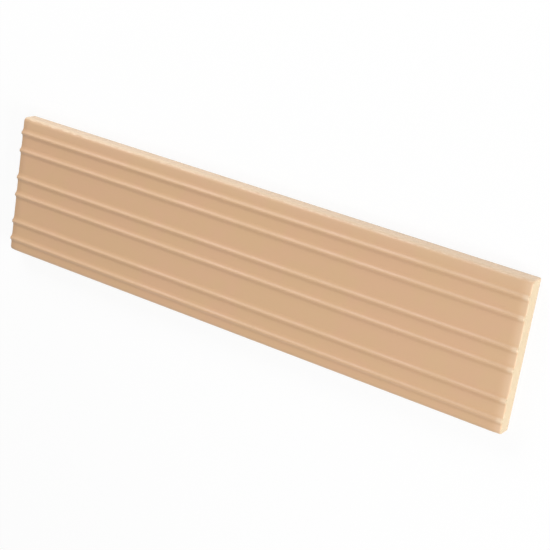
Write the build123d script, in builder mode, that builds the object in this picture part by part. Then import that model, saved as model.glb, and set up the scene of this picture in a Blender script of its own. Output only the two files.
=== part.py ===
"""Ribbed plank wall tile: one pressed and fired ceramic piece, lying on its back.

The tile runs along X, its face looks up along +Z, and the origin is at the middle of its back.
All sizes are in millimetres.
"""

import os
from math import asin, degrees, sqrt

from build123d import *

# Tile body
tile_length = 300.0
body_thickness = 9.0  # from the back to the flat panels of the face

# Layout of the ridges across the width: pairs of ridges with a wide panel between the pairs
ridge_pairs = 3
near_band = 7.1  # from the long edge at -Y to the nearest crest
far_band = 8.3  # from the long edge at +Y to the nearest crest
pair_spacing = 9.8  # between the two crests of a pair
panel_spacing = 15.1  # across a wide panel, from one pair to the next

# Section of one ridge: a rounded crest between two hollow flanks
ridge_height = 1.2
crest_radius = 1.0
cove_radius = 2.7

# The face turns down gently before each end
roll_reach = 6.0
roll_drop = 0.55

# Rounded arrises
long_edge_radius = 2.2
end_edge_radius = 0.8
back_edge_radius = 0.5

# Keying grooves pressed into the back, across the width, inside a plain rim
groove_rim = 8.0
groove_width = 12.0
groove_land = 6.0
groove_depth = 0.8
groove_corner_radius = 2.0
groove_draft = 20.0  # degrees

# Sizes that follow from the ones above
pair_pitch = pair_spacing + panel_spacing
crest_spread = ridge_pairs * pair_spacing + (ridge_pairs - 1) * panel_spacing
tile_width = near_band + crest_spread + far_band
first_crest = near_band - tile_width / 2
crest_lines = [
    first_crest + pair * pair_pitch + side
    for pair in range(ridge_pairs)
    for side in (0.0, pair_spacing)
]

# A cove is tangent to the panel at the ridge's foot and tangent to the crest's arc at its shoulder
flank_radius = cove_radius + crest_radius
foot_reach = sqrt(ridge_height * (2 * flank_radius - ridge_height))
shoulder_reach = foot_reach * crest_radius / flank_radius
shoulder_height = body_thickness + ridge_height * cove_radius / flank_radius
crest_height = body_thickness + ridge_height

# The roll at an end is an arc, tangent to the level face, about an axis deep below the tile
roll_radius = (roll_reach**2 + roll_drop**2) / (2 * roll_drop)
roll_turn = 2 * degrees(asin(roll_reach / roll_radius))
level_length = tile_length - 2 * roll_reach

groove_pitch = groove_width + groove_land
groove_length = tile_width - 2 * groove_rim
groove_count = int((tile_length - 2 * groove_rim + groove_land) // groove_pitch)


with BuildPart() as tile:
    # Cross-section: flat back, plain sides and a face with hollow-flanked ridges
    with BuildSketch(Plane.YZ) as section:
        with BuildLine():
            panel_start = (-tile_width / 2, body_thickness)
            Polyline(
                panel_start,
                (-tile_width / 2, 0),
                (tile_width / 2, 0),
                (tile_width / 2, body_thickness),
            )
            for crest in crest_lines:
                near_foot = (crest - foot_reach, body_thickness)
                near_shoulder = (crest - shoulder_reach, shoulder_height)
                far_shoulder = (crest + shoulder_reach, shoulder_height)
                far_foot = (crest + foot_reach, body_thickness)
                Line(panel_start, near_foot)
                TangentArc(near_foot, near_shoulder, tangent=(1, 0))
                ThreePointArc(near_shoulder, (crest, crest_height), far_shoulder)
                TangentArc(far_foot, far_shoulder, tangent=(-1, 0))
                panel_start = far_foot
            Line(panel_start, (tile_width / 2, body_thickness))
        make_face()
        section_corners = section.vertices().sort_by(Axis.X)
        fillet(
            [section_corners[:2].sort_by(Axis.Y)[-1], section_corners[-2:].sort_by(Axis.Y)[-1]],
            radius=long_edge_radius,
        )
    extrude(amount=level_length / 2, both=True)

    # Both ends are turned down past the tile's length, then trimmed to it over a plain slab
    level_ends = tile.faces().filter_by(Axis.X).sort_by(Axis.X)
    for level_end, side in zip(level_ends, (-1, 1)):
        roll_axis = Axis((side * level_length / 2, 0, body_thickness - roll_radius), (0, side, 0))
        revolve(level_end, axis=roll_axis, revolution_arc=roll_turn)
    with BuildSketch(Plane.XY) as outline:
        Rectangle(tile_length, tile_width)
    extrude(amount=crest_height, mode=Mode.INTERSECT)
    extrude(outline.sketch, amount=body_thickness / 2)

    # The ends get a rounded arris, and the back's outline is eased
    end_edges = tile.faces().filter_by(Axis.X).edges()
    end_arrises = end_edges.filter_by(lambda edge: edge.center().Z > body_thickness / 4)
    fillet(end_arrises, radius=end_edge_radius)
    back_face = tile.faces().sort_by(Axis.Z)[0]
    fillet(back_face.edges(), radius=back_edge_radius)

    # Keying grooves in the back
    with BuildSketch(Plane.XY):
        with GridLocations(groove_pitch, 1, groove_count, 1):
            RectangleRounded(groove_width, groove_length, groove_corner_radius)
    extrude(amount=groove_depth, taper=groove_draft, mode=Mode.SUBTRACT)

tile.part.label = "tile"

os.makedirs("parts", exist_ok=True)
export_step(tile.part, "parts/tile.step")
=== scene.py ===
"""Ribbed plank wall tile: a pressed slab with paired ridges, satin tan glaze and a bare keyed back.

The tile lies on its back. X runs along its ridges, Z points up out of its face, and the origin is at the
middle of its back.
"""

from math import asin, radians, sin, sqrt, tan
from types import SimpleNamespace

import bmesh
import bpy
from bpy.props import FloatProperty, FloatVectorProperty, IntProperty, PointerProperty
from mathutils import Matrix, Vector


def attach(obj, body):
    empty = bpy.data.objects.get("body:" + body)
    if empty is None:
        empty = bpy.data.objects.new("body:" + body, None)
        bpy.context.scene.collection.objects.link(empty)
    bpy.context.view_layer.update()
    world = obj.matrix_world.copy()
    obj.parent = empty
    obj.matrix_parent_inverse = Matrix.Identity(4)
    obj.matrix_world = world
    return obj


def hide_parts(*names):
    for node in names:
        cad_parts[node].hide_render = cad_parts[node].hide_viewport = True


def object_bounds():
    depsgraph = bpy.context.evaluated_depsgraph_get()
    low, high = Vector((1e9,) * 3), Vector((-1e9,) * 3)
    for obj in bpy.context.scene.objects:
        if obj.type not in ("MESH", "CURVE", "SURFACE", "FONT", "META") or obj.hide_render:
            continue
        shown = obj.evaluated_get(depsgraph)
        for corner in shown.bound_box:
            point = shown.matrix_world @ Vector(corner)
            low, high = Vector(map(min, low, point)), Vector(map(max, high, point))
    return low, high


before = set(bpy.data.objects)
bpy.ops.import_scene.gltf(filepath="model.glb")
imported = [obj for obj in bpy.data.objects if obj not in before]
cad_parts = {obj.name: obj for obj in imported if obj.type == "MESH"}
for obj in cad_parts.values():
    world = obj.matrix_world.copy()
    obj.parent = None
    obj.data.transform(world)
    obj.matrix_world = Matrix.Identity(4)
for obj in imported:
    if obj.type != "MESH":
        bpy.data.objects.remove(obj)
cad_low, cad_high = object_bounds()
cad_size = cad_high - cad_low

bl_info = {
    "name": "Ribbed wall tile",
    "version": (1, 0, 0),
    "blender": (4, 5, 0),
    "location": "3D View > Sidebar > Tile",
    "description": "Models a ribbed ceramic wall tile, glazes it and sets it on a pale studio floor",
    "category": "Add Mesh",
}

MM = 0.001
TILE_NAME = "ribbed_tile"

# Axis numbers
X, Y, Z = 0, 1, 2

# Tolerances
NEAR = 0.02 * MM
MERGE = 0.001 * MM
STRAIGHT = 0.999  # share of an edge's length that has to lie along an axis
TRIM = 0.998  # keeps neighbouring bevels from meeting
SMOOTH_ANGLE = radians(40)

# How far a face's normal points up or down
UPWARD = 0.9
PARTLY_UPWARD = 0.01
DOWNWARD = -0.99
PARTLY_DOWNWARD = -0.1

# Steps along each rounding
ROLL_STEPS = 5
CREST_STEPS = 8
COVE_STEPS = 12
LONG_EDGE_STEPS = 10
END_EDGE_STEPS = 5
BACK_EDGE_STEPS = 3
GROOVE_CORNER_STEPS = 5

# Grain of the fired body and of the glaze, in waves to the metre
GLAZE_GRAIN = {"Cloud": 60.0, "Peel": 220.0, "Grain": 1500.0}
BISCUIT_GRAIN = {"Cloud": 45.0, "Peel": 320.0, "Grain": 2200.0}
NOISE_DETAIL = 2.0
NOISE_ROUGHNESS = 0.55
NOISE_BAND = (0.3, 0.7)  # most of a noise texture's range

# Glaze and painted light on the ridges: heights above the flat panels where each effect starts and is full
POOL_RISE = (0.02 * MM, 0.12 * MM)
POOL_FALL = (0.20 * MM, 0.60 * MM)
CREST_START = 0.5 * MM
# Painted light on the ridges' ends at +X
RIDGE_END_LIGHT_RISE = (0.2 * MM, 0.8 * MM)

# Glaze and painted light near the edges: distances in from the edge where each effect starts and is full
# Painted light on the ridges' ends at +X
RIDGE_END_LIGHT = (4 * MM, 1.2 * MM)
END_SIDE = (0.5 * MM, 0.1 * MM)
LONG_SIDE = (1.0 * MM, 0.3 * MM)
# Painted light towards the end at +X
END_LIGHT_REACH = 5 * MM  # full at the edge itself
ARRIS_BLEND = 1.2 * MM  # down the long sides, below the arris
STOP_BLUR = 0.1 * MM  # above and below the line where the glaze stops

# Gloss and relief of the glaze
CLOUD_BAND = (0.35, 0.65)
SATIN_ROUGHNESS = (0.38, 0.46)
BARE_ROUGHNESS = 0.4  # added to the satin where the glaze stops
GRAIN_SHARE = 0.15  # of the orange peel's height
GLAZE_RELIEF = {"Strength": 0.4, "Distance": 0.05 * MM}

# Bloom, gloss and relief of the bare back
LAND_BLOOM = 0.9
GROOVE_BLOOM = 0.25
CLOUD_BLOOM = (0.35, 1.0)
SCUFF_BAND = (0.35, 0.6)
SCUFF_BLOOM = (0.6, 1.0)
BISCUIT_ROUGHNESS = (0.8, 0.95)
BISCUIT_RELIEF = {"Strength": 0.5, "Distance": 0.1 * MM}

# Layout of the nodes in a node tree
FIRST_COLUMN = -1700
COLUMN_WIDTH = 200
ROW_HEIGHT = 300
NODES_PER_COLUMN = 7

# Socket numbers of a Mix node that mixes colours
MIX_SHARE = 0
MIX_FIRST = 6
MIX_SECOND = 7
MIX_RESULT = 2

WHITE = (1.0, 1.0, 1.0)
SENSOR_WIDTH = 36.0
CLIP_START = 0.01


class TileSizes(bpy.types.PropertyGroup):
    length: FloatProperty(
        name="Length",
        description="Along the ridges",
        default=cad_size.x,
        unit="LENGTH",
    )
    width: FloatProperty(
        name="Width",
        description="Across the ridges",
        default=cad_size.y,
        unit="LENGTH",
    )
    full_height: FloatProperty(
        name="Full height",
        description="From the back to the crests",
        default=cad_size.z,
        unit="LENGTH",
    )
    ridge_height: FloatProperty(
        name="Ridge height",
        description="From a flat panel to a crest",
        default=1.2 * MM,
        unit="LENGTH",
    )
    ridge_pairs: IntProperty(
        name="Ridge pairs",
        description="Pairs of ridges across the face",
        default=3,
        min=1,
    )
    near_band: FloatProperty(
        name="Near band",
        description="From the edge at -Y to the first crest",
        default=7.1 * MM,
        unit="LENGTH",
    )
    pair_spacing: FloatProperty(
        name="Pair spacing",
        description="Between the two crests of a pair",
        default=9.8 * MM,
        unit="LENGTH",
    )
    panel_spacing: FloatProperty(
        name="Panel spacing",
        description="From one pair to the next",
        default=15.1 * MM,
        unit="LENGTH",
    )
    crest_radius: FloatProperty(
        name="Crest radius",
        description="Rounding along a crest",
        default=1.0 * MM,
        unit="LENGTH",
    )
    cove_radius: FloatProperty(
        name="Cove radius",
        description="Hollow on each flank",
        default=2.7 * MM,
        unit="LENGTH",
    )
    roll_reach: FloatProperty(
        name="Roll reach",
        description="Where the face turns down at an end",
        default=6 * MM,
        unit="LENGTH",
    )
    roll_drop: FloatProperty(
        name="Roll drop",
        description="How far the face turns down",
        default=0.55 * MM,
        unit="LENGTH",
    )
    long_edge_radius: FloatProperty(
        name="Long edge radius",
        description="Rounded arris of a long side",
        default=2.2 * MM,
        unit="LENGTH",
    )
    end_edge_radius: FloatProperty(
        name="End edge radius",
        description="Rounded arris of an end",
        default=0.8 * MM,
        unit="LENGTH",
    )
    back_edge_radius: FloatProperty(
        name="Back edge radius",
        description="Eased outline of the back",
        default=0.5 * MM,
        unit="LENGTH",
    )
    groove_rim: FloatProperty(
        name="Groove rim",
        description="Plain border round the keying grooves",
        default=8 * MM,
        unit="LENGTH",
    )
    groove_width: FloatProperty(
        name="Groove width",
        description="One keying groove, along the tile",
        default=12 * MM,
        unit="LENGTH",
    )
    groove_land: FloatProperty(
        name="Groove land",
        description="Between two keying grooves",
        default=6 * MM,
        unit="LENGTH",
    )
    groove_depth: FloatProperty(
        name="Groove depth",
        description="How deep the back is keyed",
        default=0.8 * MM,
        unit="LENGTH",
    )
    groove_corner: FloatProperty(
        name="Groove corner",
        description="Corner radius of a keying groove",
        default=2 * MM,
        unit="LENGTH",
    )
    groove_draft: FloatProperty(
        name="Groove draft",
        description="Lean of a groove's walls",
        default=radians(20),
        subtype="ANGLE",
    )


class GlazeCoat(bpy.types.PropertyGroup):
    # Painted shade: the face is mixed darker towards the end at -X, which the lamps light less
    shadier: FloatProperty(
        name="Thicker",
        description="How much thicker the glaze lies towards the end at -X",
        default=0.22,
        min=0.0,
        max=1.0,
        subtype="FACTOR",
    )
    # Painted shade on the roll of the end at -X, where the face turns away from the light
    painted_end_shade: FloatProperty(
        name="Pooled end",
        description="How much glaze has pooled on the roll of the end at -X",
        default=0.9,
        min=0.0,
        max=1.0,
        subtype="FACTOR",
    )
    # Painted light: the face is mixed lighter towards the end at +X, the side of the key lamp
    brighter: FloatProperty(
        name="Thinner",
        description="How much thinner the glaze lies towards the end at +X",
        default=0.1,
        min=0.0,
        max=1.0,
        subtype="FACTOR",
    )
    # Painted light along the edge at +Y, the side that the fill lamp lights
    painted_edge_light: FloatProperty(
        name="Faded",
        description="How much the glaze thins at the edge at +Y",
        default=0.16,
        min=0.0,
        max=1.0,
        subtype="FACTOR",
    )
    # Reach of the painted light along the edge at +Y
    painted_edge_light_reach: FloatProperty(
        name="Fade reach",
        description="How far in from the edge at +Y the glaze thins",
        default=9 * MM,
        unit="LENGTH",
    )
    pooled_foot: FloatProperty(
        name="Pooled foot",
        description="How much glaze has pooled along the foot of a ridge",
        default=0.12,
        min=0.0,
        max=1.0,
        subtype="FACTOR",
    )
    thin_crest: FloatProperty(
        name="Thin crest",
        description="How thin the glaze is drawn on a crest",
        default=0.5,
        min=0.0,
        max=1.0,
        subtype="FACTOR",
    )
    # Painted light on each ridge's end at +X, where the crest turns towards the key lamp
    painted_ridge_end_light: FloatProperty(
        name="Broken end",
        description="How far the glaze breaks on a ridge's end at +X",
        default=0.8,
        min=0.0,
        max=1.0,
        subtype="FACTOR",
    )
    # Painted light over the end at +X and the last of the face before it, which face the key lamp
    painted_end_light: FloatProperty(
        name="Drawn end",
        description="How thin the glaze is drawn over the end at +X",
        default=0.35,
        min=0.0,
        max=1.0,
        subtype="FACTOR",
    )
    # The long arrises are partly glaze broken thin and partly a painted highlight, which fades to this share
    # at the end at +X
    far_arris_highlight: FloatProperty(
        name="Far arris",
        description="How much of the break on the long arrises is left at the end at +X",
        default=0.2,
        min=0.0,
        max=1.0,
        subtype="FACTOR",
    )
    waver: FloatProperty(
        name="Waver",
        description="How far the glaze lines wander",
        default=1.4 * MM,
        unit="LENGTH",
    )
    stop: FloatProperty(
        name="Stop",
        description="Where the glaze ends above the back",
        default=1.0 * MM,
        unit="LENGTH",
    )


class GlazeColours(bpy.types.PropertyGroup):
    glaze: FloatVectorProperty(
        name="Glaze",
        description="The tan of the flat panels",
        default=(0.592, 0.379, 0.2145),
        subtype="COLOR",
    )
    glaze_cloud: FloatVectorProperty(
        name="Clouded glaze",
        description="Rosier drift in the tan",
        default=(0.602, 0.372, 0.2205),
        subtype="COLOR",
    )
    # Glaze that really pools in the hollows, also used as the painted shade towards the end at -X
    pooled_glaze_and_shade: FloatVectorProperty(
        name="Pooled glaze",
        description="Thicker, in the hollows",
        default=(0.54, 0.325, 0.178),
        subtype="COLOR",
    )
    # Glaze really drawn thin on the crests, also used as the painted light towards the end at +X
    thin_glaze_and_light: FloatVectorProperty(
        name="Thin glaze",
        description="Drawn thin on the crests",
        default=(0.640, 0.424, 0.256),
        subtype="COLOR",
    )
    # Sparse glaze over the sides, also used as the painted light along the edge at +Y and towards the end at
    # +X
    side_glaze_and_light: FloatVectorProperty(
        name="Side glaze",
        description="Sparse over the sides",
        default=(0.683, 0.506, 0.345),
        subtype="COLOR",
    )
    # Glaze broken thin on the long arrises with a painted highlight there, also the painted light on the
    # ridges' ends at +X
    arris_glaze_and_highlight: FloatVectorProperty(
        name="Arris glaze",
        description="Broken thin on the long arrises and the ridges' ends",
        default=(0.745, 0.57, 0.395),
        subtype="COLOR",
    )
    glaze_end: FloatVectorProperty(
        name="End glaze",
        description="Sparse over the ends",
        default=(0.575, 0.455, 0.295),
        subtype="COLOR",
    )
    biscuit: FloatVectorProperty(
        name="Biscuit",
        description="The bare fired body",
        default=(0.62, 0.47, 0.33),
        subtype="COLOR",
    )
    biscuit_dust: FloatVectorProperty(
        name="Biscuit dust",
        description="Chalky bloom on the body",
        default=(0.74, 0.63, 0.50),
        subtype="COLOR",
    )
    floor: FloatVectorProperty(
        name="Floor",
        description="Pale studio floor",
        default=(0.9, 0.9, 0.9),
        subtype="COLOR",
    )


class StudioSettings(bpy.types.PropertyGroup):
    camera_place: FloatVectorProperty(
        name="Camera place",
        description="Where the camera stands",
        default=(0.36228, 0.21972, 0.60243),
        subtype="TRANSLATION",
    )
    camera_turn: FloatVectorProperty(
        name="Camera turn",
        description="How the camera is turned, rolled so the tile runs down to the right",
        default=(radians(-12.2622), radians(32.432), radians(10.615)),
        subtype="EULER",
    )
    lens: FloatProperty(
        name="Lens",
        description="Focal length in millimetres",
        default=96.214,
        unit="CAMERA",
    )
    floor_size: FloatProperty(
        name="Floor size",
        description="Side of the square floor",
        default=6.0,
        unit="LENGTH",
    )
    floor_white: FloatProperty(
        name="Floor white",
        description="Share of plain white in the floor as it is seen. The rest keeps the shadow",
        default=0.88,
        min=0.0,
        max=1.0,
        subtype="FACTOR",
    )
    surround: FloatProperty(
        name="Surround",
        description="Level of the even studio light",
        default=0.35,
    )
    key_place: FloatVectorProperty(
        name="Key place",
        description="Where the lamp beyond the end at +X stands",
        default=(1.5, -0.2, 0.47),
        subtype="TRANSLATION",
    )
    key_size: FloatVectorProperty(
        name="Key size",
        description="Width and height of the lamp beyond the end",
        default=(0.8, 0.8),
        size=2,
        unit="LENGTH",
    )
    key_level: FloatProperty(
        name="Key",
        description="Power of the lamp beyond the end",
        default=22.0,
        unit="POWER",
    )
    fill_place: FloatVectorProperty(
        name="Fill place",
        description="Where the lamp beyond the long side at +Y stands",
        default=(-0.3, 0.64, 0.375),
        subtype="TRANSLATION",
    )
    fill_size: FloatVectorProperty(
        name="Fill size",
        description="Width and height of the lamp beyond the long side",
        default=(0.6, 0.35),
        size=2,
        unit="LENGTH",
    )
    fill_level: FloatProperty(
        name="Fill",
        description="Power of the lamp beyond the long side",
        default=4.0,
        unit="POWER",
    )
    top_place: FloatVectorProperty(
        name="Top place",
        description="Where the lamp overhead hangs",
        default=(0.22, -0.27, 0.58),
        subtype="TRANSLATION",
    )
    top_size: FloatVectorProperty(
        name="Top size",
        description="Width and height of the lamp overhead",
        default=(0.3, 0.3),
        size=2,
        unit="LENGTH",
    )
    top_level: FloatProperty(
        name="Top",
        description="Power of the lamp overhead",
        default=1.0,
        unit="POWER",
    )


# Modelling helpers


def name_new_object(name):
    """Names the object that was just added, and its mesh."""
    added = bpy.context.object
    added.name = name
    added.data.name = name
    return added


def deselect_everything():
    bpy.ops.object.select_all(action="DESELECT")


def pick(kind, test):
    """Selects the corners, edges or faces of the mesh in edit mode that pass the test, and nothing else."""
    bpy.ops.mesh.select_mode(type=kind)
    bpy.ops.mesh.select_all(action="DESELECT")
    mesh = bpy.context.edit_object.data
    shape = bmesh.from_edit_mesh(mesh)
    for item in {"VERT": shape.verts, "EDGE": shape.edges, "FACE": shape.faces}[kind]:
        item.select_set(test(item))
    shape.select_flush_mode()
    bmesh.update_edit_mesh(mesh)


def runs_along(edge, axis):
    run = edge.verts[1].co - edge.verts[0].co
    return abs(run[axis]) > STRAIGHT * run.length


def lies_at(edge, axis, place):
    return all(abs(vert.co[axis] - place) < NEAR for vert in edge.verts)


def lies_at_any(edge, axis, places):
    return any(lies_at(edge, axis, place) for place in places)


def cut(place, normal):
    bpy.ops.mesh.bisect(plane_co=place, plane_no=normal)


def round_edges(radius, steps):
    bpy.ops.mesh.bevel(offset=radius, segments=steps, profile=0.5, affect="EDGES", clamp_overlap=False)


def body_height(sizes):
    """From the back to the flat panels of the face."""
    return sizes.full_height - sizes.ridge_height


def crest_lines(sizes):
    """The place across the width of each crest."""
    lines = []
    for pair in range(sizes.ridge_pairs):
        first = sizes.near_band - sizes.width / 2 + pair * (sizes.pair_spacing + sizes.panel_spacing)
        lines += [first, first + sizes.pair_spacing]
    return lines


# The tile


class TILE_OT_press(bpy.types.Operator):
    """Presses the tile: ridges raised from a slab, ends rolled, arrises rounded and the back keyed"""

    bl_idname = "tile.press"
    bl_label = "Press the tile"

    def execute(self, context):
        sizes = context.scene.tile_sizes
        body = body_height(sizes)
        deselect_everything()
        slab = (sizes.length, sizes.width, body)
        bpy.ops.mesh.primitive_cube_add(size=1, location=(0, 0, body / 2), scale=slab)
        bpy.ops.object.transform_apply(location=True, rotation=True, scale=True)
        piece = name_new_object(TILE_NAME)
        bpy.ops.object.mode_set(mode="EDIT")
        self.raise_ridges(sizes, body)
        self.round_long_sides(sizes, body)
        self.roll_ends(sizes, body)
        self.round_ends_and_back(sizes)
        self.key_back(sizes)
        bpy.ops.mesh.select_all(action="SELECT")
        bpy.ops.mesh.remove_doubles(threshold=MERGE)
        bpy.ops.mesh.normals_make_consistent(inside=False)
        bpy.ops.object.mode_set(mode="OBJECT")
        bpy.ops.object.shade_smooth_by_angle(angle=SMOOTH_ANGLE)
        shading = piece.modifiers.new("flat panels", "WEIGHTED_NORMAL")
        shading.keep_sharp = True
        bpy.ops.object.modifier_apply(modifier=shading.name)
        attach(piece, "root")
        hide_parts("tile")
        return {"FINISHED"}

    def raise_ridges(self, sizes, body):
        """Cuts the face along each ridge, lifts sharp crests, then rounds crests and hollows flanks."""
        flank_radius = sizes.cove_radius + sizes.crest_radius
        foot_reach = sqrt(sizes.ridge_height * (2 * flank_radius - sizes.ridge_height))
        slope = asin(foot_reach / flank_radius)
        cove_run = sizes.cove_radius * tan(slope / 2)
        crest_run = sizes.crest_radius * tan(slope)
        sharp_foot = foot_reach - cove_run
        bevel_drop = (2 - sqrt(2)) * TRIM * crest_run * sin(slope)
        sharp_height = sizes.ridge_height + bevel_drop
        crests = crest_lines(sizes)
        for crest in crests:
            for line in (crest - sharp_foot, crest, crest + sharp_foot):
                pick("FACE", lambda face: face.normal.z > UPWARD)
                cut((0, line, body), (0, 1, 0))
        pick("EDGE", lambda edge: lies_at_any(edge, Y, crests) and lies_at(edge, Z, body))
        bpy.ops.transform.translate(value=(0, 0, sharp_height))
        pick("EDGE", lambda edge: runs_along(edge, X) and lies_at(edge, Z, body + sharp_height))
        round_edges(TRIM * crest_run, CREST_STEPS)
        feet = [crest + side * sharp_foot for crest in crests for side in (-1, 1)]
        pick("EDGE", lambda edge: lies_at_any(edge, Y, feet) and lies_at(edge, Z, body))
        round_edges(TRIM * cove_run, COVE_STEPS)

    def round_long_sides(self, sizes, body):
        """Rounds the arris between the face and each long side."""
        sides = (-sizes.width / 2, sizes.width / 2)
        pick("EDGE", lambda edge: lies_at_any(edge, Y, sides) and lies_at(edge, Z, body))
        round_edges(sizes.long_edge_radius, LONG_EDGE_STEPS)

    def roll_ends(self, sizes, body):
        """Turns the face down along an arc towards both ends."""
        radius = (sizes.roll_reach**2 + sizes.roll_drop**2) / (2 * sizes.roll_drop)
        start = sizes.length / 2 - sizes.roll_reach
        for end in (-1, 1):
            for step in range(ROLL_STEPS):
                pick("FACE", lambda face: face.normal.z > PARTLY_UPWARD)
                cut((end * (start + sizes.roll_reach * step / ROLL_STEPS), 0, 0), (1, 0, 0))
            for step in range(1, ROLL_STEPS + 1):
                run = sizes.roll_reach * step / ROLL_STEPS
                place = end * (start + run)
                pick("VERT", lambda vert: abs(vert.co.x - place) < NEAR and vert.co.z > body / 2)
                bpy.ops.transform.translate(value=(0, 0, sqrt(radius**2 - run**2) - radius))

    def round_ends_and_back(self, sizes):
        """Rounds the arris of both ends and eases the outline of the back."""
        ends = (-sizes.length / 2, sizes.length / 2)
        pick("EDGE", lambda edge: lies_at_any(edge, X, ends) and not lies_at(edge, Z, 0))
        round_edges(sizes.end_edge_radius, END_EDGE_STEPS)
        pick("EDGE", lambda edge: lies_at(edge, Z, 0))
        round_edges(sizes.back_edge_radius, BACK_EDGE_STEPS)

    def key_back(self, sizes):
        """Sinks a row of shallow grooves with rounded corners into the back, inside a plain rim."""
        depth = sizes.groove_depth
        pitch = sizes.groove_width + sizes.groove_land
        count = int((sizes.length - 2 * sizes.groove_rim + sizes.groove_land) // pitch)
        reach = sizes.width / 2 - sizes.groove_rim
        centres = [(index - (count - 1) / 2) * pitch for index in range(count)]
        sides = [centre + side * sizes.groove_width / 2 for centre in centres for side in (-1, 1)]

        def inside_rim(face):
            return face.normal.z < DOWNWARD and abs(face.calc_center_median().y) < reach

        def in_groove(face):
            middle = face.calc_center_median().x
            between_sides = any(abs(middle - centre) < sizes.groove_width / 2 for centre in centres)
            return between_sides and inside_rim(face)

        for line in (-reach, reach):
            pick("FACE", lambda face: face.normal.z < DOWNWARD)
            cut((0, line, 0), (0, 1, 0))
        for side in sides:
            pick("FACE", inside_rim)
            cut((side, 0, 0), (1, 0, 0))
        pick("FACE", in_groove)
        bpy.ops.mesh.inset(thickness=depth * tan(sizes.groove_draft), depth=-depth, use_individual=True)
        pick("EDGE", lambda edge: sorted(round(vert.co.z / depth, 2) for vert in edge.verts) == [0, 1])
        round_edges(sizes.groove_corner, GROOVE_CORNER_STEPS)


# Finishes


class NodeBench:
    """Adds nodes to one node tree, column by column, and links them."""

    def __init__(self, tree):
        self.tree = tree
        self.count = 0

    def add(self, kind, **values):
        node = self.tree.nodes.new(kind)
        column, row = divmod(self.count, NODES_PER_COLUMN)
        node.location = (FIRST_COLUMN + column * COLUMN_WIDTH, -row * ROW_HEIGHT)
        self.count += 1
        for name, value in values.items():
            setattr(node, name, value)
        return node

    def feed(self, socket, value):
        """Links another node's output to a socket, or sets a plain value on it."""
        if isinstance(value, bpy.types.NodeSocket):
            self.tree.links.new(value, socket)
        else:
            socket.default_value = value

    def tint(self, socket, colour):
        """Feeds a colour socket with another node's output or a plain colour."""
        plain = not isinstance(colour, bpy.types.NodeSocket)
        self.feed(socket, (*colour, 1.0) if plain else colour)

    def ramp(self, source, low, high, to_low=0.0, to_high=1.0):
        """A value that eases from to_low to to_high while the source goes from low to high."""
        node = self.add("ShaderNodeMapRange", interpolation_type="SMOOTHSTEP")
        limits = {"Value": source, "From Min": low, "From Max": high, "To Min": to_low, "To Max": to_high}
        for name, value in limits.items():
            self.feed(node.inputs[name], value)
        return node.outputs["Result"]

    def reckon(self, operation, *values):
        node = self.add("ShaderNodeMath", operation=operation)
        for socket, value in zip(node.inputs, values):
            self.feed(socket, value)
        return node.outputs["Value"]

    def mix(self, share, first, second):
        """The first colour where the share is nought, and the second where it is one."""
        node = self.add("ShaderNodeMix", data_type="RGBA")
        self.feed(node.inputs[MIX_SHARE], share)
        self.tint(node.inputs[MIX_FIRST], first)
        self.tint(node.inputs[MIX_SECOND], second)
        return node.outputs[MIX_RESULT]

    def mix_shaders(self, share, first, second):
        node = self.add("ShaderNodeMixShader")
        for socket, value in zip(node.inputs, (share, first.outputs[0], second.outputs[0])):
            self.feed(socket, value)
        return node.outputs["Shader"]

    def relief(self, height, values):
        """A normal for a soft relief, with the strength and the distance in values."""
        node = self.add("ShaderNodeBump")
        for name, value in values.items():
            self.feed(node.inputs[name], value)
        self.feed(node.inputs["Height"], height)
        return node.outputs["Normal"]


def new_material(name):
    material = bpy.data.materials.new(name)
    material.use_nodes = True
    return material, NodeBench(material.node_tree), material.node_tree.nodes


def fired_grain_group():
    """Cloudy tone, soft orange peel and fine grain that the glaze and the biscuit share."""
    group = bpy.data.node_groups.new("fired grain", "ShaderNodeTree")
    group.interface.new_socket("Vector", in_out="INPUT", socket_type="NodeSocketVector")
    bench = NodeBench(group)
    given = bench.add("NodeGroupInput")
    out = bench.add("NodeGroupOutput")
    for name in ("Cloud", "Peel", "Grain"):
        group.interface.new_socket(f"{name} scale", in_out="INPUT", socket_type="NodeSocketFloat")
        group.interface.new_socket(name, in_out="OUTPUT", socket_type="NodeSocketFloat")
        noise = bench.add("ShaderNodeTexNoise")
        bench.feed(noise.inputs["Vector"], given.outputs["Vector"])
        bench.feed(noise.inputs["Scale"], given.outputs[f"{name} scale"])
        bench.feed(noise.inputs["Detail"], NOISE_DETAIL)
        bench.feed(noise.inputs["Roughness"], NOISE_ROUGHNESS)
        bench.feed(out.inputs[name], noise.outputs["Fac"])
    return group


def grain_and_axes(bench, group, scales):
    """The fired grain at its scales, and a spot's place on the tile along X, Y and Z."""
    coords = bench.add("ShaderNodeTexCoord")
    grain = bench.add("ShaderNodeGroup", node_tree=group)
    axes = bench.add("ShaderNodeSeparateXYZ")
    for node in (grain, axes):
        bench.feed(node.inputs["Vector"], coords.outputs["Object"])
    for name, scale in scales.items():
        bench.feed(grain.inputs[f"{name} scale"], scale)
    return grain.outputs, axes.outputs


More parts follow.
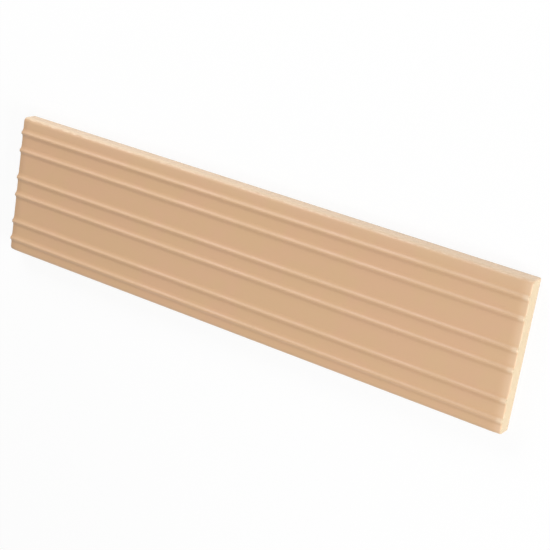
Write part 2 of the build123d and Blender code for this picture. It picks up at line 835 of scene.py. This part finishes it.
def spot_on_tile(bench, axes, peel, sizes, coat):
    """Where a spot lies on the tile: plain places, and ragged ones that make a glaze line waver."""
    waver = bench.reckon("MULTIPLY_ADD", peel, coat.waver, -coat.waver / 2)
    from_middle = bench.reckon("ABSOLUTE", axes["X"])
    from_centre_line = bench.reckon("ABSOLUTE", axes["Y"])

    # Height above the flat panels, as it would be without the roll at the ends
    past_level = bench.reckon("SUBTRACT", from_middle, sizes.length / 2 - sizes.roll_reach)
    past_level = bench.reckon("MAXIMUM", past_level, 0.0)
    squared = bench.reckon("MULTIPLY", past_level, past_level)
    unrolled = bench.reckon("MULTIPLY_ADD", squared, sizes.roll_drop / sizes.roll_reach**2, axes["Z"])
    return SimpleNamespace(
        along=axes["X"],
        across=axes["Y"],
        above_panel=bench.reckon("SUBTRACT", unrolled, body_height(sizes)),
        ragged_along=bench.reckon("ADD", from_middle, waver),
        ragged_across=bench.reckon("ADD", from_centre_line, waver),
        ragged_height=bench.reckon("SUBTRACT", axes["Z"], waver),
    )


def panel_tone(bench, spot, cloud, sizes, coat, colours):
    """Cloudy tan, with painted shade towards -X and on the roll of that end, and painted light towards +X and
    along the edge at +Y.
    """
    half_length = sizes.length / 2
    half_width = sizes.width / 2
    tone = bench.mix(bench.ramp(cloud, *CLOUD_BAND), colours.glaze_cloud, colours.glaze)
    # Painted shade, darker towards the end at -X and darkest on the roll of that end
    shadier = bench.ramp(spot.along, -half_length, 0.0, coat.shadier, 0.0)
    painted_end_shade = bench.ramp(spot.along, -half_length, -half_length + sizes.roll_reach, coat.painted_end_shade, 0.0)
    shadier = bench.reckon("MAXIMUM", shadier, painted_end_shade)
    tone = bench.mix(shadier, tone, colours.pooled_glaze_and_shade)
    # Painted light, lighter towards the end at +X where the key lamp stands
    brighter = bench.ramp(spot.along, 0.0, half_length, 0.0, coat.brighter)
    tone = bench.mix(brighter, tone, colours.thin_glaze_and_light)
    # Painted light along the edge at +Y, on the fill lamp's side
    painted_edge_light = bench.ramp(spot.across, half_width - coat.painted_edge_light_reach, half_width, 0.0, coat.painted_edge_light)
    return bench.mix(painted_edge_light, tone, colours.side_glaze_and_light)


def ridge_tone(bench, spot, tone, sizes, coat, colours):
    """Glaze that pools along the foot of each ridge and is thin on its crest, with painted light on each
    ridge's end at +X.
    """
    half_length = sizes.length / 2
    pool_rise = bench.ramp(spot.above_panel, *POOL_RISE)
    pool_fall = bench.ramp(spot.above_panel, *POOL_FALL, coat.pooled_foot, 0.0)
    pool = bench.reckon("MULTIPLY", pool_rise, pool_fall)
    tone = bench.mix(pool, tone, colours.pooled_glaze_and_shade)
    crest = bench.ramp(spot.above_panel, CREST_START, sizes.ridge_height, 0.0, coat.thin_crest)
    tone = bench.mix(crest, tone, colours.thin_glaze_and_light)
    # Painted light on each ridge's end at +X, where the crest turns towards the key lamp
    ridge_end_light_start, ridge_end_light_full = RIDGE_END_LIGHT
    ridge_end_light = bench.ramp(
        spot.along, half_length - ridge_end_light_start, half_length - ridge_end_light_full, 0.0, coat.painted_ridge_end_light
    )
    ridge_end_light = bench.reckon("MULTIPLY", bench.ramp(spot.above_panel, *RIDGE_END_LIGHT_RISE), ridge_end_light)
    return bench.mix(ridge_end_light, tone, colours.arris_glaze_and_highlight)


def side_tone(bench, spot, tone, sizes, coat, colours):
    """Glaze that is sparse over the ends and the long sides, with painted light towards the end at +X, and
    long arrises that are partly glaze broken thin and partly a painted highlight.
    """
    half_length = sizes.length / 2
    half_width = sizes.width / 2
    # Painted light over the end at +X and the last of the face before it
    painted_end_light = bench.ramp(spot.along, half_length - END_LIGHT_REACH, half_length, 0.0, coat.painted_end_light)
    tone = bench.mix(painted_end_light, tone, colours.side_glaze_and_light)
    end_start, end_full = END_SIDE
    end_side = bench.ramp(spot.ragged_along, half_length - end_start, half_length - end_full)
    tone = bench.mix(end_side, tone, colours.glaze_end)
    # Long arrises: partly glaze broken thin, partly a painted highlight that fades towards the end at +X
    arris_foot = -sizes.long_edge_radius
    arris = bench.ramp(spot.above_panel, arris_foot - ARRIS_BLEND, arris_foot)
    arris_highlight_run = bench.ramp(spot.along, -half_length, half_length, 1.0, coat.far_arris_highlight)
    arris = bench.reckon("MULTIPLY", arris, arris_highlight_run)
    long_tone = bench.mix(arris, colours.side_glaze_and_light, colours.arris_glaze_and_highlight)
    side_start, side_full = LONG_SIDE
    long_side = bench.ramp(spot.ragged_across, half_width - side_start, half_width - side_full)
    return bench.mix(long_side, tone, long_tone)


def satin_glaze(scene, group):
    """Tan satin glaze over the face and the sides, ending along an uneven line just above the back."""
    sizes = scene.tile_sizes
    coat = scene.tile_coat
    colours = scene.tile_colours
    material, bench, nodes = new_material("satin_glaze")
    surface = nodes["Principled BSDF"]
    grain, axes = grain_and_axes(bench, group, GLAZE_GRAIN)
    spot = spot_on_tile(bench, axes, grain["Peel"], sizes, coat)
    tone = panel_tone(bench, spot, grain["Cloud"], sizes, coat, colours)
    tone = ridge_tone(bench, spot, tone, sizes, coat, colours)
    tone = side_tone(bench, spot, tone, sizes, coat, colours)
    bare = bench.ramp(spot.ragged_height, coat.stop - STOP_BLUR, coat.stop + STOP_BLUR, 1.0, 0.0)
    bench.feed(surface.inputs["Base Color"], bench.mix(bare, tone, colours.biscuit))
    satin = bench.ramp(grain["Cloud"], *NOISE_BAND, *SATIN_ROUGHNESS)
    bench.feed(surface.inputs["Roughness"], bench.reckon("MULTIPLY_ADD", bare, BARE_ROUGHNESS, satin))
    peel = bench.reckon("MULTIPLY_ADD", grain["Grain"], GRAIN_SHARE, grain["Peel"])
    bench.feed(surface.inputs["Normal"], bench.relief(peel, GLAZE_RELIEF))
    return material


def bare_biscuit(scene, group):
    """Bare fired body, chalkier on the lands that stood on the kiln shelf than in the grooves."""
    colours = scene.tile_colours
    material, bench, nodes = new_material("bare_biscuit")
    surface = nodes["Principled BSDF"]
    grain, axes = grain_and_axes(bench, group, BISCUIT_GRAIN)
    land = bench.ramp(axes["Z"], 0.0, scene.tile_sizes.groove_depth, LAND_BLOOM, GROOVE_BLOOM)
    cloud = bench.ramp(grain["Cloud"], *NOISE_BAND, *CLOUD_BLOOM)
    scuff = bench.ramp(grain["Peel"], *SCUFF_BAND, *SCUFF_BLOOM)
    bloom = bench.reckon("MULTIPLY", cloud, land)
    bloom = bench.reckon("MULTIPLY", bloom, scuff)
    bench.feed(surface.inputs["Base Color"], bench.mix(bloom, colours.biscuit, colours.biscuit_dust))
    bench.feed(surface.inputs["Roughness"], bench.ramp(grain["Grain"], *NOISE_BAND, *BISCUIT_ROUGHNESS))
    bench.feed(surface.inputs["Normal"], bench.relief(grain["Grain"], BISCUIT_RELIEF))
    return material


class TILE_OT_glaze(bpy.types.Operator):
    """Glazes the face and sides and leaves the back bare"""

    bl_idname = "tile.glaze"
    bl_label = "Glaze the tile"

    def execute(self, context):
        scene = context.scene
        back_top = scene.tile_sizes.groove_depth + NEAR
        mesh = bpy.data.objects[TILE_NAME].data
        group = fired_grain_group()
        mesh.materials.append(satin_glaze(scene, group))
        mesh.materials.append(bare_biscuit(scene, group))
        for face in mesh.polygons:
            face.material_index = int(face.normal.z < PARTLY_DOWNWARD and face.center.z < back_top)
        return {"FINISHED"}


# Studio


def seen_directly(bench):
    """One for rays that see a surface directly, in a gloss or through glass, and nought for light on it."""
    path = bench.add("ShaderNodeLightPath").outputs
    seen = bench.reckon("MAXIMUM", path["Is Camera Ray"], path["Is Glossy Ray"])
    return bench.reckon("MAXIMUM", seen, path["Is Transmission Ray"])


def pale_floor(scene):
    """Pale floor that reads as white behind the tile and keeps its soft shadow."""
    material, bench, nodes = new_material("pale_floor")
    nodes.remove(nodes["Principled BSDF"])
    matt = bench.add("ShaderNodeBsdfDiffuse")
    bench.tint(matt.inputs["Color"], scene.tile_colours.floor)
    glow = bench.add("ShaderNodeEmission")
    share = bench.reckon("MULTIPLY", seen_directly(bench), scene.tile_studio.floor_white)
    bench.feed(nodes["Material Output"].inputs["Surface"], bench.mix_shaders(share, matt, glow))
    return material


def studio_surround(scene):
    """Even light from all round, seen as plain white."""
    world = bpy.data.worlds.new("studio_surround")
    world.use_nodes = True
    scene.world = world
    nodes = world.node_tree.nodes
    bench = NodeBench(world.node_tree)
    light = nodes["Background"]
    bench.tint(light.inputs["Color"], WHITE)
    bench.feed(light.inputs["Strength"], scene.tile_studio.surround)
    white = bench.add("ShaderNodeBackground")
    bench.tint(white.inputs["Color"], WHITE)
    bench.feed(nodes["World Output"].inputs["Surface"], bench.mix_shaders(seen_directly(bench), light, white))


def soft_lamp(name, place, size, power):
    """A large soft lamp aimed at the tile."""
    aim = -Vector(place)
    bpy.ops.object.light_add(type="AREA", location=place, rotation=aim.to_track_quat("-Z", "Y").to_euler())
    lamp = bpy.context.object
    lamp.name = name
    lamp.data.shape = "RECTANGLE"
    lamp.data.size, lamp.data.size_y = size
    lamp.data.energy = power
    lamp.visible_camera = False


def photo_camera(scene):
    """The camera at the photograph's viewing angle."""
    studio = scene.tile_studio
    bpy.ops.object.camera_add(location=studio.camera_place, rotation=studio.camera_turn)
    camera = bpy.context.object
    camera.name = "photo_camera"
    camera.data.lens = studio.lens
    camera.data.sensor_width = SENSOR_WIDTH
    camera.data.clip_start = CLIP_START
    scene.camera = camera


class TILE_OT_stage(bpy.types.Operator):
    """Sets the floor, the soft studio light and the camera"""

    bl_idname = "tile.stage"
    bl_label = "Set the stage"

    def execute(self, context):
        scene = context.scene
        studio = scene.tile_studio
        deselect_everything()
        bpy.ops.mesh.primitive_plane_add(size=studio.floor_size)
        floor = name_new_object("floor")
        floor.data.materials.append(pale_floor(scene))
        studio_surround(scene)
        soft_lamp("end_key", studio.key_place, studio.key_size, studio.key_level)
        soft_lamp("side_fill", studio.fill_place, studio.fill_size, studio.fill_level)
        soft_lamp("top_fill", studio.top_place, studio.top_size, studio.top_level)
        photo_camera(scene)
        scene.view_settings.view_transform = "Standard"
        return {"FINISHED"}


class TILE_PT_panel(bpy.types.Panel):
    """Lists the steps and the sizes, glaze, colours and light that they use"""

    bl_idname = "TILE_PT_panel"
    bl_label = "Ribbed wall tile"
    bl_space_type = "VIEW_3D"
    bl_region_type = "UI"
    bl_category = "Tile"

    def draw(self, context):
        layout = self.layout
        for step in (TILE_OT_press, TILE_OT_glaze, TILE_OT_stage):
            layout.operator(step.bl_idname)
        for group_name in SETTINGS:
            values = getattr(context.scene, group_name)
            box = layout.box()
            for name in values.__annotations__:
                box.prop(values, name)


# Where the scene keeps each group of settings
SETTINGS = {
    "tile_sizes": TileSizes,
    "tile_coat": GlazeCoat,
    "tile_colours": GlazeColours,
    "tile_studio": StudioSettings,
}
CLASSES = (*SETTINGS.values(), TILE_OT_press, TILE_OT_glaze, TILE_OT_stage, TILE_PT_panel)


def register():
    for item in CLASSES:
        bpy.utils.register_class(item)
    for group_name, group in SETTINGS.items():
        setattr(bpy.types.Scene, group_name, PointerProperty(type=group))


def unregister():
    for group_name in SETTINGS:
        delattr(bpy.types.Scene, group_name)
    for item in reversed(CLASSES):
        bpy.utils.unregister_class(item)


def main():
    register()
    bpy.ops.tile.press()
    bpy.ops.tile.glaze()
    bpy.ops.tile.stage()


if __name__ == "__main__":
    main()
